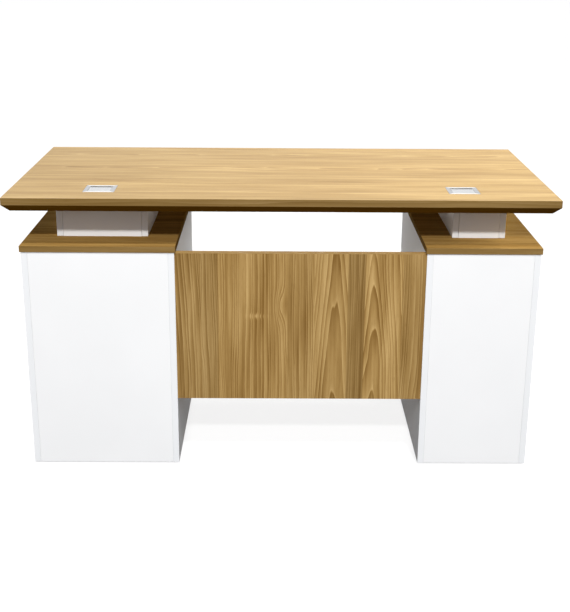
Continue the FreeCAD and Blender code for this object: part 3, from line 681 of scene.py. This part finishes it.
# %% [markdown]
# ## White melamine
# The carcasses, risers, drawer fronts and door are chipboard faced with white melamine paper, pressed
# against a plate that leaves a fine satin pebble. Their narrow edges carry a plastic band, a shade
# cooler and a little glossier. The insides of the drawers have a greyer foil. A plain white shader would
# look like card, so a slow cloud shades the white by a few percent and the pebble breaks its gloss.

# %% White melamine: a satin white with edge bands
WHITE_FACE, WHITE_BAND = "#ECECEB", "#E7E8E8"
FOIL_FACE, FOIL_BAND = "#D9D9D6", "#CFCFCD"
CLOUD_SIZE, CLOUD_DARK = 180, 0.975
FACE_ROUGH, BAND_ROUGH, PAPER_SHEEN = 0.62, 0.55, 0.04
# A real pebble is about 0.3 mm across, too fine for the picture, so it is drawn coarser.
PEBBLE, PEBBLE_DEPTH, PEBBLE_BUMP = 1.6, 0.03 * MM, 0.35
# Most of a noise lies between these two values.
NOISE_RANGE = {1: 0.3, 2: 0.7}


def melamine(name, face_hex, band_hex):
    """Melamine paper pressed on chipboard: an even white with a satin, slightly broken gloss."""
    material, tree = new_material(name)
    place = add_node(tree, "TexCoord")["Object"]
    in_mm = add_node(tree, "VectorMath", {0: place, "Scale": 1 / MM}, operation="SCALE")[0]
    band = add_node(tree, "Attribute", attribute_name="edge_band")["Fac"]
    paper = add_node(tree, "Mix", {0: band, 6: linear(face_hex), 7: linear(band_hex)},
                     data_type="RGBA")[2]
    cloud = add_node(tree, "TexNoise", {"Vector": in_mm, "Scale": 1 / CLOUD_SIZE, "Detail": 2.0})[0]
    shade = add_node(tree, "MapRange", {0: cloud, **NOISE_RANGE, 3: CLOUD_DARK, 4: 1.0})[0]
    colour = add_node(tree, "VectorMath", {0: paper, "Scale": shade}, operation="SCALE")[0]
    pebble = add_node(tree, "TexNoise", {"Vector": in_mm, "Scale": 1 / PEBBLE, "Detail": 1.0})[0]
    raised = add_node(tree, "Bump", {
        "Height": pebble, "Distance": PEBBLE_DEPTH, "Strength": PEBBLE_BUMP})[0]
    gloss = add_node(tree, "MapRange", {0: band, 3: FACE_ROUGH, 4: BAND_ROUGH})[0]
    shader = add_node(tree, "BsdfPrincipled", {
        "Base Color": colour, "Roughness": gloss, "Normal": raised, "Specular IOR Level": PAPER_SHEEN})[0]
    add_node(tree, "OutputMaterial", {"Surface": shader})
    return material


white_melamine = melamine("white_melamine_on_chipboard", WHITE_FACE, WHITE_BAND)
grey_foil = melamine("light_grey_drawer_foil", FOIL_FACE, FOIL_BAND)
print("melamine: a pebble", PEBBLE, "mm across")

# %% [markdown]
# ## White boards
# Every carcass board, riser board, front, door, shelf and drawer board is an eased copy of its node. The
# faces that carry the edge band are noted on the mesh, because only the mesh knows which way a board is
# thin. Riser and pedestal fronts sit between their side boards, and the photograph shows the joints as
# fine lines, so those fronts are narrowed by a fraction of a millimetre at each end.

# %% White boards: mark the bands, open the joints
BOARD_EASE = 0.9 * MM
RISER_GAP, FRONT_GAP = 0.6 * MM, 0.1 * MM
board_finishes = {"white_melamine": white_melamine, "drawer_board": grey_foil}
fitted_boards = {f"{side}_{part}_front": gap for side in ("left", "right")
                 for part, gap in (("riser", RISER_GAP), ("pedestal", FRONT_GAP))}


def mark_bands(skin, node):
    """Note the faces of a board that carry its edge band: those that don't face along its thickness."""
    low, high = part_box(node)
    spans = high - low
    thin = min(range(3), key=lambda axis: spans[axis])
    band = skin.faces.layers.float.new("edge_band")
    for face in skin.faces:
        face[band] = float(abs(face.normal[thin]) < SIDEWAYS)


def open_joints(skin, node, gap):
    """Narrow a front board by a gap at each end."""
    low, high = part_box(node)
    for vert in skin.verts:
        vert.co.x += gap if vert.co.x < (low.x + high.x) / 2 else -gap


white_boards = [node for node in sorted(nodes) if slots[node] in board_finishes]
for node in white_boards:
    skin = clean_skin(node)
    mark_bands(skin, node)
    if node in fitted_boards:
        open_joints(skin, node, fitted_boards[node])
    stand_for(piece_from(skin, f"{node}_board", board_finishes[slots[node]], BOARD_EASE), node)
print("white and grey boards:", len(white_boards))

# %% [markdown]
# ## Metals
# The fittings are bought parts. Handles and grommets are aluminium, brushed and then anodised, so they
# keep a soft grain under a clear skin. Slides, pins and screws are steel with bright zinc plating, and
# the lock is nickel-plated brass. All of them are a metal with a grain, so one recipe makes them, from
# two tones, the size of the grain along each axis and a roughness. Anisotropy could stretch the
# highlights too, but streaks in tone and gloss need no tangents and can be baked.

# %% Metals: brushed, polished and plated
# Real brush marks are about 0.1 mm wide, too fine for the picture, so they are drawn coarser.
BRUSH_WIDE, BRUSH_LONG = 1.2, 40
along_x, along_y, along_z = ([BRUSH_LONG if at == axis else BRUSH_WIDE for at in (X, Y, Z)]
                             for axis in (X, Y, Z))
GLOSS_SWING = 0.15
SCRATCH_DEPTH, SCRATCH_BUMP = 0.02 * MM, 0.3
BRUSHED, POLISHED = 0.34, 0.24
ZINC_CLOUD, ZINC_ROUGH = (9, 30, 9), 0.38
NICKEL_GRAIN, NICKEL_ROUGH = (2, 2, 2), 0.2


def grained_metal(name, hex_dark, hex_light, grain, rough):
    """A metal with a grain of the given size in mm along X, Y and Z: streaks in tone and in gloss."""
    material, tree = new_material(name)
    place = add_node(tree, "TexCoord")["Object"]
    scale = [1 / (size * MM) for size in grain]
    stretched = add_node(tree, "Mapping", {"Vector": place, "Scale": scale})[0]
    noise = add_node(tree, "TexNoise", {"Vector": stretched, "Scale": 1.0, "Detail": 3.0})[0]
    colour = add_node(tree, "Mix", {0: noise, 6: linear(hex_dark), 7: linear(hex_light)},
                      data_type="RGBA")[2]
    gloss = add_node(tree, "MapRange", {
        0: noise, **NOISE_RANGE, 3: rough * (1 - GLOSS_SWING), 4: rough * (1 + GLOSS_SWING)})[0]
    scratch = add_node(tree, "Bump", {
        "Height": noise, "Distance": SCRATCH_DEPTH, "Strength": SCRATCH_BUMP})[0]
    shader = add_node(tree, "BsdfPrincipled", {
        "Base Color": colour, "Metallic": 1.0, "Roughness": gloss, "Normal": scratch})[0]
    add_node(tree, "OutputMaterial", {"Surface": shader})
    return material


# Brushed and anodised handles: a mild silver whose light breaks up along the grain.
brushed_aluminium = grained_metal("brushed_anodised_aluminium", "#B9BABC", "#D2D2D1", along_x, BRUSHED)
upright_aluminium = grained_metal("brushed_anodised_aluminium_upright", "#B9BABC", "#D2D2D1", along_z,
                                  BRUSHED)
# Polished grommet rails: bright, with the two side rails painted darker as shade. They lie across the grain.
bright_aluminium = grained_metal("polished_anodised_aluminium", "#ECECEA", "#F6F6F4", along_x, POLISHED)
rail_aluminium_painted_shade = grained_metal("polished_anodised_aluminium_cross_painted_shade", "#ABADAF", "#C0C1C3", along_y, POLISHED)
grey_aluminium = grained_metal("polished_anodised_aluminium_grey", "#C6C8CA", "#D8D9DA", along_x, POLISHED)
# Bright zinc plating: cool and a little cloudy. Nickel plating: warmer and smoother.
zinc_plating = grained_metal("zinc_plated_steel", "#A9AEB4", "#C6C9CB", ZINC_CLOUD, ZINC_ROUGH)
nickel_plating = grained_metal("nickel_plated_brass", "#BDB8AC", "#D6D2C8", NICKEL_GRAIN, NICKEL_ROUGH)
print("metals: brush marks", BRUSH_WIDE, "mm wide and", BRUSH_LONG, "mm long")

# %% [markdown]
# ## Black nylon
# The floor glides and the door catch are moulded from black nylon. Their mould was sparked, which
# leaves a fine grain that scatters the gloss, so the black never shows a hard highlight.

# %% Black nylon: near black with a scattered gloss
# Real spark grain is about 0.1 mm across, too fine for the picture, so it is drawn coarser.
SPARK_GRAIN, SPARK_DEPTH, SPARK_BUMP = 0.8, 0.03 * MM, 0.4
NYLON_BLACK, NYLON_SMOOTH, NYLON_ROUGH = "#1B1B1C", 0.42, 0.62
black_nylon, tree = new_material("moulded_black_nylon")
place = add_node(tree, "TexCoord")["Object"]
noise = add_node(tree, "TexNoise", {
    "Vector": place, "Scale": 1 / (SPARK_GRAIN * MM), "Detail": 2.0})[0]
gloss = add_node(tree, "MapRange", {0: noise, **NOISE_RANGE, 3: NYLON_SMOOTH, 4: NYLON_ROUGH})[0]
grain = add_node(tree, "Bump", {"Height": noise, "Distance": SPARK_DEPTH, "Strength": SPARK_BUMP})[0]
shader = add_node(tree, "BsdfPrincipled", {
    "Base Color": linear(NYLON_BLACK), "Roughness": gloss, "Normal": grain})[0]
add_node(tree, "OutputMaterial", {"Surface": shader})
print("nylon: grain", SPARK_GRAIN, "mm")

# %% [markdown]
# ## Fittings
# Handles, slides, pins, lock and glides are eased copies of their nodes too, and take the finish of
# their slot. Some take one of their own: the upright handle's grain runs upright, and grommet lids are
# greyer than their frames, as the photograph shows. A grommet frame is cut from four rails with mitred
# corners. Two diagonal cuts through its mesh give each rail its own faces, so that the side rails can
# take the metal with the grain across, painted darker as shade.

# %% Fittings: finishes by slot, and mitred grommet frames
FITTING_EASE = 0.5 * MM
fitting_finishes = {
    "satin_aluminium": brushed_aluminium,
    "zinc_steel": zinc_plating,
    "lock_nickel": nickel_plating,
    "black_nylon": black_nylon,
}
own_finishes = {"cupboard_door_handle": upright_aluminium}
for side in ("left", "right"):
    own_finishes[f"{side}_grommet_lid"] = grey_aluminium
    own_finishes[f"{side}_grommet_frame"] = bright_aluminium


def mitre(skin, node):
    """Cut a square frame at its mitred corners and mark its side rails with the second material."""
    low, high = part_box(node)
    middle = (low + high) / 2
    for normal in (Vector((1, 1, 0)), Vector((1, -1, 0))):
        bmesh.ops.bisect_plane(skin, geom=[*skin.verts, *skin.edges, *skin.faces], dist=MERGE,
                               plane_co=middle, plane_no=normal)
    for face in skin.faces:
        away = face.calc_center_median() - middle
        face.material_index = int(abs(away.x) > abs(away.y))


fittings = [node for node in sorted(nodes) if slots[node] in fitting_finishes]
for node in fittings:
    skin = clean_skin(node)
    framed = node.endswith("grommet_frame")
    if framed:
        mitre(skin, node)
    finish = own_finishes.get(node, fitting_finishes[slots[node]])
    piece = piece_from(skin, f"{node}_fitting", finish, FITTING_EASE)
    if framed:
        # The side rails take the darker metal, painted shade.
        piece.data.materials.append(rail_aluminium_painted_shade)
    stand_for(piece, node)
print("fittings:", len(fittings))

# %% [markdown]
# ## Geometry Nodes for what repeats
# Small things that repeat are made by Geometry Nodes: one shape is built from nodes, set on points and
# turned into a plain mesh. The three functions here start a tree with named sizes, end it, and grow it
# on some points. A modifier's inputs go by the socket's identifier, and the finished mesh replaces the
# modifier, so the piece holds plain faces.

# %% Geometry Nodes: start a tree, end it, grow it
def new_tree(name, sizes):
    """A geometry tree with a material input and named sizes, and its group input's outputs."""
    tree = bpy.data.node_groups.new(name, "GeometryNodeTree")
    tree.interface.new_socket("Points", in_out="INPUT", socket_type="NodeSocketGeometry")
    tree.interface.new_socket("Finish", in_out="INPUT", socket_type="NodeSocketMaterial")
    for size in sizes:
        tree.interface.new_socket(size, in_out="INPUT", socket_type="NodeSocketFloat")
    tree.interface.new_socket("Mesh", in_out="OUTPUT", socket_type="NodeSocketGeometry")
    return tree, add_node(tree, "NodeGroupInput")


def set_on_points(tree, given, shape, turn):
    """End a tree: the shape on every point, turned, as plain faces with the finish."""
    placed = add_node(tree, "GeometryNodeInstanceOnPoints", {
        "Points": given["Points"], "Instance": shape, "Rotation": turn})[0]
    plain = add_node(tree, "GeometryNodeRealizeInstances", {0: placed})[0]
    finished = add_node(tree, "GeometryNodeSetMaterial", {
        "Geometry": plain, "Material": given["Finish"]})[0]
    add_node(tree, "NodeGroupOutput", {"Mesh": finished})
    print("tree", tree.name, "with", len(tree.nodes), "nodes")


def grow(name, tree, points, finish, sizes):
    """A new object with the plain mesh that a tree makes on some points."""
    seed_mesh = bpy.data.meshes.new(name)
    seed_mesh.from_pydata(points, [], [])
    piece = bpy.data.objects.new(name, seed_mesh)
    bpy.context.scene.collection.objects.link(piece)
    maker = piece.modifiers.new("maker", "NODES")
    maker.node_group = tree
    values = {**sizes, "Finish": finish}
    for item in tree.interface.items_tree:
        if item.in_out == "INPUT" and item.name in values:
            maker[item.identifier] = values[item.name]
    made = piece.evaluated_get(bpy.context.evaluated_depsgraph_get())
    mesh = bpy.data.meshes.new_from_object(made)
    piece.modifiers.remove(maker)
    piece.data = mesh
    mesh.name = name
    return piece


# %% [markdown]
# ## A pan-head screw
# A handle is held by two pan-head screws from inside its board. The head is a short drum with a domed
# top and a cross recess. The dome is where the drum meets a wide flat ball, so the two are intersected,
# and two crossed bars are taken away at the top. Modelling one by hand and copying it would do, but the
# tree keeps the sizes as inputs.

# %% Screw: a domed head with a cross recess
QUARTER = math.pi / 2
HEAD_SIDES, DOME_RINGS = 28, 16
DOME_SPREAD, ARM_SHARE = 1.18, 0.26

screw_tree, given = new_tree("pan_head_screw", ("Head Radius", "Head Height", "Recess"))
radius, height, recess = given["Head Radius"], given["Head Height"], given["Recess"]
half = add_node(screw_tree, "Math", {0: height, 1: 0.5}, operation="MULTIPLY")[0]
lift = add_node(screw_tree, "CombineXYZ", {2: half})[0]
drum = add_node(screw_tree, "GeometryNodeMeshCylinder", {
    "Vertices": HEAD_SIDES, "Radius": radius, "Depth": height})["Mesh"]
drum = add_node(screw_tree, "GeometryNodeTransform", {"Geometry": drum, "Translation": lift})[0]
wide = add_node(screw_tree, "Math", {0: radius, 1: DOME_SPREAD}, operation="MULTIPLY")[0]
ball_size = add_node(screw_tree, "CombineXYZ", {0: wide, 1: wide, 2: height})[0]
ball = add_node(screw_tree, "GeometryNodeMeshUVSphere", {
    "Segments": HEAD_SIDES, "Rings": DOME_RINGS, "Radius": 1.0})["Mesh"]
ball = add_node(screw_tree, "GeometryNodeTransform", {"Geometry": ball, "Scale": ball_size})[0]
domed = add_node(screw_tree, "GeometryNodeMeshBoolean", {1: ball}, operation="INTERSECT")[0]
screw_tree.links.new(drum, domed.node.inputs[1])

arm = add_node(screw_tree, "Math", {0: recess, 1: ARM_SHARE}, operation="MULTIPLY")[0]
top = add_node(screw_tree, "CombineXYZ", {2: height})[0]
crossed = add_node(screw_tree, "GeometryNodeMeshBoolean", {0: domed}, operation="DIFFERENCE")[0]
for bar_x, bar_y in ((recess, arm), (arm, recess)):
    size = add_node(screw_tree, "CombineXYZ", {0: bar_x, 1: bar_y, 2: height})[0]
    bar = add_node(screw_tree, "GeometryNodeMeshCube", {"Size": size})["Mesh"]
    bar = add_node(screw_tree, "GeometryNodeTransform", {"Geometry": bar, "Translation": top})[0]
    screw_tree.links.new(bar, crossed.node.inputs[1])
set_on_points(screw_tree, given, crossed, (QUARTER, 0, 0))

# %% [markdown]
# ## Screws behind the handles
# A handle stands on two posts, one at each end, and a screw sits behind each post on the inner face of
# the drawer front or the door. So the places follow from the handle's box and the board's box.

# %% Handle screws: two for each handle
SCREW_SIZES = {"Head Radius": 3.8 * MM, "Head Height": 2.2 * MM, "Recess": 3.6 * MM}
HANDLE_POST = 12 * MM
handled_boards = {f"{place}_drawer_front": f"{place}_drawer_handle" for place in ("top", "middle", "bottom")}
handled_boards["cupboard_door"] = "cupboard_door_handle"
for board, handle in handled_boards.items():
    low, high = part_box(handle)
    lies_flat = high.x - low.x > high.z - low.z
    way = Vector((1, 0, 0)) if lies_flat else up
    reach = ((high - low).dot(way) - HANDLE_POST) / 2
    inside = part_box(board)[0].y
    posts = [(low + high) / 2 + way * reach * sign for sign in (-1, 1)]
    points = [(post.x, inside, post.z) for post in posts]
    screws = grow(f"{handle}_screws", screw_tree, points, zinc_plating, SCREW_SIZES)
    screws.data.shade_smooth()
    screws.data.set_sharp_from_angle(angle=SHARP)
    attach(screws, nodes[board]["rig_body"])
    print(screws.name, len(screws.data.polygons), "faces")

# %% [markdown]
# ## Cutting into finished pieces
# The cams behind the modesty panel have a cross slot for the screwdriver, and the cupboard's sides have
# rows of holes. Both are cutters grown by Geometry Nodes and taken away by a Boolean modifier, which is
# applied at once, because a live one would need the cutter to stay. The cut faces take the cutter's
# material, so drilled holes show what a board is made of.

# %% Carving: take a cutter away for good
def carve(piece, cutter):
    """Take a cutter away from a piece for good, and keep the piece's flat faces flat."""
    cut = piece.modifiers.new("cut", "BOOLEAN")
    cut.object = cutter
    cut.material_mode = "TRANSFER"
    carved = piece.evaluated_get(bpy.context.evaluated_depsgraph_get())
    mesh = bpy.data.meshes.new_from_object(carved)
    piece.modifiers.clear()
    piece.data = mesh
    bpy.data.objects.remove(cutter)
    mesh.shade_smooth()
    mesh.set_sharp_from_angle(angle=SHARP)
    piece.modifiers.new("flat_faces", "WEIGHTED_NORMAL").keep_sharp = True
    print(piece.name, "carved to", len(mesh.polygons), "faces")


# %% [markdown]
# ## Cross slots in the cams
# A cam is a round of zinc that turns in the panel's rear face and pulls a bolt tight. Its cross slot is
# two crossed bars, turned by an eighth because fitted cams seldom stand square. The cams sit at a fixed
# distance from the panel's corners. A cutter is centred on the face that it cuts, so it is made twice as
# deep as the slot, and half of it stands clear.

# %% Cam slots: two crossed bars on each cam
CAM_REACH, CAM_INSET = 34 * MM, 60 * MM
SLOT_SIZES = {"Slot Length": 9 * MM, "Slot Width": 1.8 * MM, "Slot Depth": 2.5 * MM}

slot_tree, given = new_tree("cross_slot", SLOT_SIZES)
deep = add_node(slot_tree, "Math", {0: given["Slot Depth"], 1: 2.0}, operation="MULTIPLY")[0]
arms = add_node(slot_tree, "GeometryNodeMeshBoolean", operation="UNION")[0]
for first, second in (("Slot Length", "Slot Width"), ("Slot Width", "Slot Length")):
    size = add_node(slot_tree, "CombineXYZ", {0: given[first], 1: deep, 2: given[second]})[0]
    bar = add_node(slot_tree, "GeometryNodeMeshCube", {"Size": size})["Mesh"]
    slot_tree.links.new(bar, arms.node.inputs[1])
set_on_points(slot_tree, given, arms, (0, QUARTER / 2, 0))

panel_low, panel_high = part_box("modesty_panel")
cam_places = [(x, panel_high.y, z) for x in (panel_low.x + CAM_REACH, panel_high.x - CAM_REACH)
              for z in (panel_low.z + CAM_INSET, panel_high.z - CAM_INSET)]
slot_cutter = grow("cam_slot_cutter", slot_tree, cam_places, zinc_plating, SLOT_SIZES)
carve(bpy.data.objects["modesty_cam_fittings_fitting"], slot_cutter)

# %% [markdown]
# ## Raw chipboard
# Inside a drilled hole the board shows its core: pressed wood chips, straw and brown, a millimetre or
# two across. Voronoi cells with a random tone each look like such chips, and they need no finer detail.

# %% Raw chipboard: the walls of holes
CHIP_SIZE, CHIP_DEPTH, CHIP_BUMP = 1.5, 0.1 * MM, 0.5
CHIP_DARK, CHIP_LIGHT = "#8A6A44", "#C9AA7C"
CHIP_ROUGH, CHIP_SHEEN = 0.85, 0.2
chipboard, tree = new_material("cut_raw_chipboard")
place = add_node(tree, "TexCoord")["Object"]
chips = add_node(tree, "TexVoronoi", {"Vector": place, "Scale": 1 / (CHIP_SIZE * MM)})["Color"]
chip = add_node(tree, "SeparateXYZ", {0: chips})[0]
colour = add_node(tree, "Mix", {0: chip, 6: linear(CHIP_DARK), 7: linear(CHIP_LIGHT)},
                  data_type="RGBA")[2]
raised = add_node(tree, "Bump", {"Height": chip, "Distance": CHIP_DEPTH, "Strength": CHIP_BUMP})[0]
shader = add_node(tree, "BsdfPrincipled", {
    "Base Color": colour, "Roughness": CHIP_ROUGH, "Normal": raised, "Specular IOR Level": CHIP_SHEEN})[0]
add_node(tree, "OutputMaterial", {"Surface": shader})
print("chipboard: chips", CHIP_SIZE, "mm across")

# %% [markdown]
# ## System holes
# The cupboard's sides have the usual rows of 5 mm holes, 32 mm apart, so that the shelf can be moved. The
# tree sets drills along a line, and the lines start above and below the shelf pins that the frame has,
# which fixes the rows to the pins in use.

# %% System holes: rows of drills in the cupboard's sides
HOLE_PITCH, HOLES = 32 * MM, 5
HOLE_RADIUS, HOLE_DEPTH, DRILL_SIDES = 2.5 * MM, 11 * MM, 20
hole_sizes = {"Hole Radius": HOLE_RADIUS, "Hole Depth": HOLE_DEPTH, "Pitch": HOLE_PITCH}

row_tree, given = new_tree("system_hole_row", hole_sizes)
step = add_node(row_tree, "CombineXYZ", {2: given["Pitch"]})[0]
row = add_node(row_tree, "GeometryNodeMeshLine", {"Count": HOLES, "Offset": step})[0]
deep = add_node(row_tree, "Math", {0: given["Hole Depth"], 1: 2.0}, operation="MULTIPLY")[0]
drill = add_node(row_tree, "GeometryNodeMeshCylinder", {
    "Vertices": DRILL_SIDES, "Radius": given["Hole Radius"], "Depth": deep})["Mesh"]
row = add_node(row_tree, "GeometryNodeInstanceOnPoints", {
    "Points": row, "Instance": drill, "Rotation": (0, QUARTER, 0)})[0]
set_on_points(row_tree, given, row, (0, 0, 0))

pin_low, pin_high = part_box("shelf_pins")
pin_z = pin_low.z + HOLE_RADIUS
rows_y = (pin_low.y + HOLE_RADIUS, pin_high.y - HOLE_RADIUS)
rows_z = (pin_z - HOLES * HOLE_PITCH, pin_z + HOLE_PITCH)
inner_faces = {"right_pedestal_inner_side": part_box("right_pedestal_inner_side")[1].x,
               "right_pedestal_outer_side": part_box("right_pedestal_outer_side")[0].x}
for board, face_x in inner_faces.items():
    starts = [(face_x, y, z) for y in rows_y for z in rows_z]
    drills = grow(f"{board}_drills", row_tree, starts, chipboard, hole_sizes)
    carve(bpy.data.objects[f"{board}_board"], drills)

# %% [markdown]
# ## The desk's box
# The dressed desk's box is worked out before the script ends.

# %% Sizes and finish
import json

low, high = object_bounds()
